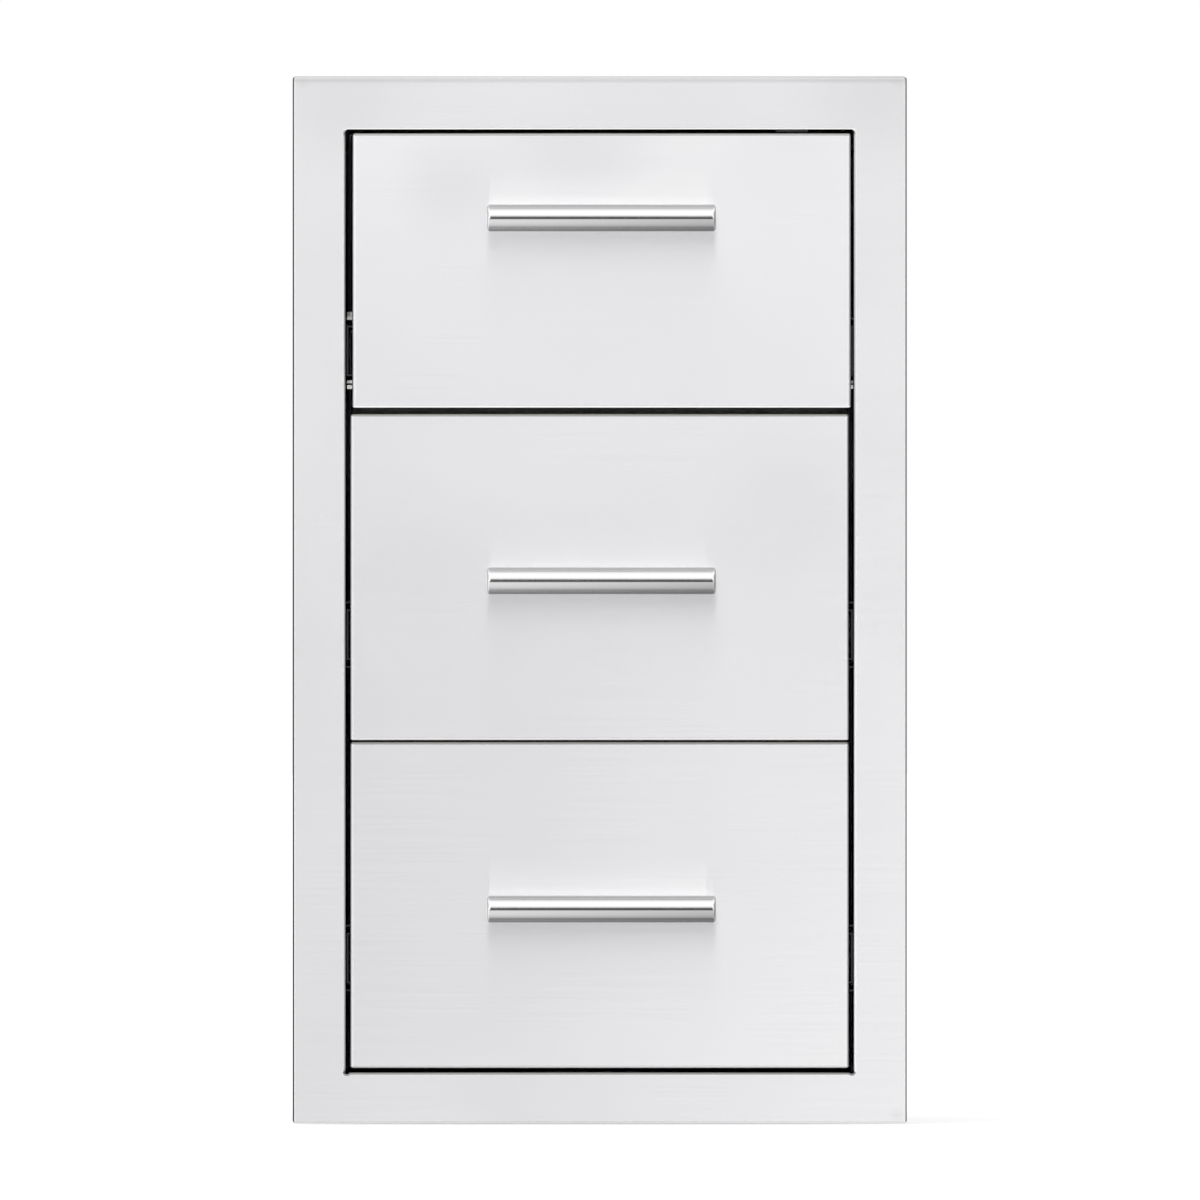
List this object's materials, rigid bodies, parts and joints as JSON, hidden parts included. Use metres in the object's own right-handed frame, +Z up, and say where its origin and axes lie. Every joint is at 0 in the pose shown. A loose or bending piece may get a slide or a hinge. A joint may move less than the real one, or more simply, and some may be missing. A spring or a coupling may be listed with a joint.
{
  "type": "outdoor kitchen drawer unit",
  "caption": "Built-in stainless steel drawer cabinet with a flanged face frame, stacked inset drawers, bar handles and full-extension ball-bearing slides.",
  "frame": {"origin": "centre of the cabinet's underside, which rests on the shelf or floor of the cut-out", "axes": "+Z up, +X to the right seen from the front, +Y to the rear; the drawer fronts face -Y"},
  "size_m": [0.42, 0.5502, 0.7161],
  "materials": {
    "frame_steel": "brushed stainless steel, grain along each face, near-white grey",
    "front_steel": "fine horizontal brushing, bright folded edges",
    "handle_steel": "satin turned bar, grain round the bar, softly mirrored",
    "liner_steel": "plain mill-finish stainless sheet",
    "tray_steel": "plain mill-finish stainless sheet with lengthwise grain",
    "cabinet_steel": "plain mill-finish stainless sheet",
    "slide_steel": "roll-formed stainless strip, lengthwise forming lines",
    "cage_steel": "thin pressed strip with polished balls"
  },
  "bodies": {
    "cabinet": {"face_frame": "frame_steel", "cabinet_side_left": "cabinet_steel", "cabinet_side_right": "cabinet_steel", "cabinet_bottom": "cabinet_steel", "cabinet_top": "cabinet_steel", "cabinet_back": "cabinet_steel", "top_left_cabinet_member": "slide_steel", "top_right_cabinet_member": "slide_steel", "middle_left_cabinet_member": "slide_steel", "middle_right_cabinet_member": "slide_steel", "bottom_left_cabinet_member": "slide_steel", "bottom_right_cabinet_member": "slide_steel"},
    "top_drawer": {"top_front_skin": "front_steel", "top_front_liner": "liner_steel", "top_tray": "tray_steel", "top_handle_bar": "handle_steel", "top_handle_post_left": "handle_steel", "top_handle_post_right": "handle_steel", "top_left_drawer_member": "slide_steel", "top_right_drawer_member": "slide_steel"},
    "top_intermediate_members": {"top_left_intermediate_member": "slide_steel", "top_right_intermediate_member": "slide_steel"},
    "top_outer_cages": {"top_left_outer_ball_cage": "cage_steel", "top_right_outer_ball_cage": "cage_steel"},
    "top_inner_cages": {"top_left_inner_ball_cage": "cage_steel", "top_right_inner_ball_cage": "cage_steel"},
    "middle_drawer": {"middle_front_skin": "front_steel", "middle_front_liner": "liner_steel", "middle_tray": "tray_steel", "middle_handle_bar": "handle_steel", "middle_handle_post_left": "handle_steel", "middle_handle_post_right": "handle_steel", "middle_left_drawer_member": "slide_steel", "middle_right_drawer_member": "slide_steel"},
    "middle_intermediate_members": {"middle_left_intermediate_member": "slide_steel", "middle_right_intermediate_member": "slide_steel"},
    "middle_outer_cages": {"middle_left_outer_ball_cage": "cage_steel", "middle_right_outer_ball_cage": "cage_steel"},
    "middle_inner_cages": {"middle_left_inner_ball_cage": "cage_steel", "middle_right_inner_ball_cage": "cage_steel"},
    "bottom_drawer": {"bottom_front_skin": "front_steel", "bottom_front_liner": "liner_steel", "bottom_tray": "tray_steel", "bottom_handle_bar": "handle_steel", "bottom_handle_post_left": "handle_steel", "bottom_handle_post_right": "handle_steel", "bottom_left_drawer_member": "slide_steel", "bottom_right_drawer_member": "slide_steel"},
    "bottom_intermediate_members": {"bottom_left_intermediate_member": "slide_steel", "bottom_right_intermediate_member": "slide_steel"},
    "bottom_outer_cages": {"bottom_left_outer_ball_cage": "cage_steel", "bottom_right_outer_ball_cage": "cage_steel"},
    "bottom_inner_cages": {"bottom_left_inner_ball_cage": "cage_steel", "bottom_right_inner_ball_cage": "cage_steel"}
  },
  "joints": [
    {"name": "top_drawer_slide", "type": "slide", "parent": "cabinet", "child": "top_drawer", "axis": [0, -1, 0], "range_m": [0, 0.457]},
    {"name": "top_intermediate_members_slide", "type": "slide", "parent": "cabinet", "child": "top_intermediate_members", "axis": [0, -1, 0], "range_m": [0, 0.2285]},
    {"name": "top_outer_cages_slide", "type": "slide", "parent": "cabinet", "child": "top_outer_cages", "axis": [0, -1, 0], "range_m": [0, 0.11425]},
    {"name": "top_inner_cages_slide", "type": "slide", "parent": "cabinet", "child": "top_inner_cages", "axis": [0, -1, 0], "range_m": [0, 0.34275]},
    {"name": "middle_drawer_slide", "type": "slide", "parent": "cabinet", "child": "middle_drawer", "axis": [0, -1, 0], "range_m": [0, 0.457]},
    {"name": "middle_intermediate_members_slide", "type": "slide", "parent": "cabinet", "child": "middle_intermediate_members", "axis": [0, -1, 0], "range_m": [0, 0.2285]},
    {"name": "middle_outer_cages_slide", "type": "slide", "parent": "cabinet", "child": "middle_outer_cages", "axis": [0, -1, 0], "range_m": [0, 0.11425]},
    {"name": "middle_inner_cages_slide", "type": "slide", "parent": "cabinet", "child": "middle_inner_cages", "axis": [0, -1, 0], "range_m": [0, 0.34275]},
    {"name": "bottom_drawer_slide", "type": "slide", "parent": "cabinet", "child": "bottom_drawer", "axis": [0, -1, 0], "range_m": [0, 0.457]},
    {"name": "bottom_intermediate_members_slide", "type": "slide", "parent": "cabinet", "child": "bottom_intermediate_members", "axis": [0, -1, 0], "range_m": [0, 0.2285]},
    {"name": "bottom_outer_cages_slide", "type": "slide", "parent": "cabinet", "child": "bottom_outer_cages", "axis": [0, -1, 0], "range_m": [0, 0.11425]},
    {"name": "bottom_inner_cages_slide", "type": "slide", "parent": "cabinet", "child": "bottom_inner_cages", "axis": [0, -1, 0], "range_m": [0, 0.34275]}
  ],
  "couplings": [
    {"joint": "top_intermediate_members_slide", "follows": "top_drawer_slide", "ratio": 0.5},
    {"joint": "top_outer_cages_slide", "follows": "top_drawer_slide", "ratio": 0.25},
    {"joint": "top_inner_cages_slide", "follows": "top_drawer_slide", "ratio": 0.75},
    {"joint": "middle_intermediate_members_slide", "follows": "middle_drawer_slide", "ratio": 0.5},
    {"joint": "middle_outer_cages_slide", "follows": "middle_drawer_slide", "ratio": 0.25},
    {"joint": "middle_inner_cages_slide", "follows": "middle_drawer_slide", "ratio": 0.75},
    {"joint": "bottom_intermediate_members_slide", "follows": "bottom_drawer_slide", "ratio": 0.5},
    {"joint": "bottom_outer_cages_slide", "follows": "bottom_drawer_slide", "ratio": 0.25},
    {"joint": "bottom_inner_cages_slide", "follows": "bottom_drawer_slide", "ratio": 0.75}
  ]
}
